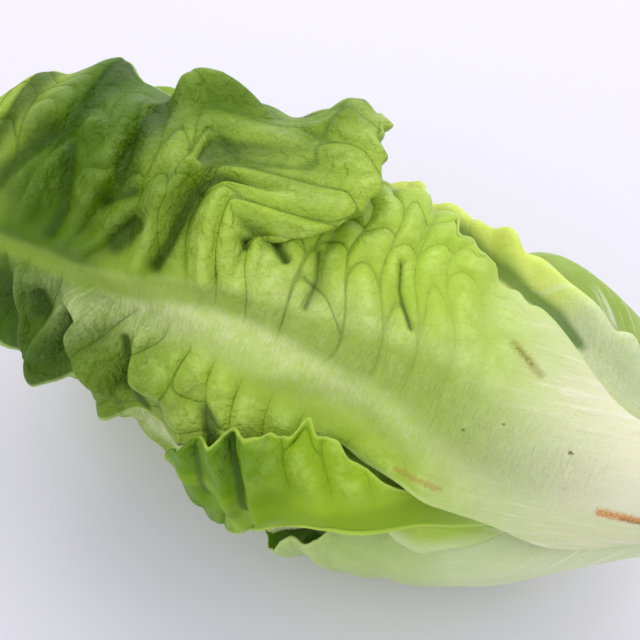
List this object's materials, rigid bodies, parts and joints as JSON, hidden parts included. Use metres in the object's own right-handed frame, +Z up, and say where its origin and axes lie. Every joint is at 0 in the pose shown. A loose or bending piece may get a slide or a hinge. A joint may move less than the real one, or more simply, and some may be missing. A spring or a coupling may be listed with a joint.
{
  "type": "romaine heart",
  "caption": "Romaine heart lying on its side: long overlapping leaves with raised pale midribs and waved green margins, wrapped round a short cut stem.",
  "frame": {"origin": "the point on the surface that the head lies on, in the middle of the bottom leaf's flat resting spot", "axes": "+X along the head towards the cut end of the stem, +Z up, -Y towards the side that the picture is taken from"},
  "size_m": [0.1721, 0.0868, 0.0836],
  "materials": {
    "stem": "pale, moist, cut plant stem",
    "leaf_front": "soft waxy leaf",
    "leaf_top": "soft waxy leaf with a pale midrib",
    "leaf_shoulder": "soft waxy leaf",
    "leaf_back": "smooth pale leaf",
    "leaf_front_low": "soft waxy leaf",
    "leaf_under": "smooth pale leaf",
    "leaf_back_low": "soft waxy leaf",
    "inner_leaf_1": "soft waxy leaf",
    "inner_leaf_2": "soft waxy leaf",
    "inner_leaf_3": "soft waxy leaf",
    "inner_leaf_4": "soft waxy leaf",
    "inner_leaf_5": "soft pale yellow-green leaf",
    "inner_leaf_6": "soft pale yellow-green leaf"
  },
  "bodies": {
    "root": {"stem": "stem", "leaf_front": "leaf_front", "leaf_top": "leaf_top", "leaf_shoulder": "leaf_shoulder", "leaf_back": "leaf_back", "leaf_front_low": "leaf_front_low", "leaf_under": "leaf_under", "leaf_back_low": "leaf_back_low", "inner_leaf_1": "inner_leaf_1", "inner_leaf_2": "inner_leaf_2", "inner_leaf_3": "inner_leaf_3", "inner_leaf_4": "inner_leaf_4", "inner_leaf_5": "inner_leaf_5", "inner_leaf_6": "inner_leaf_6"}
  },
  "joints": []
}
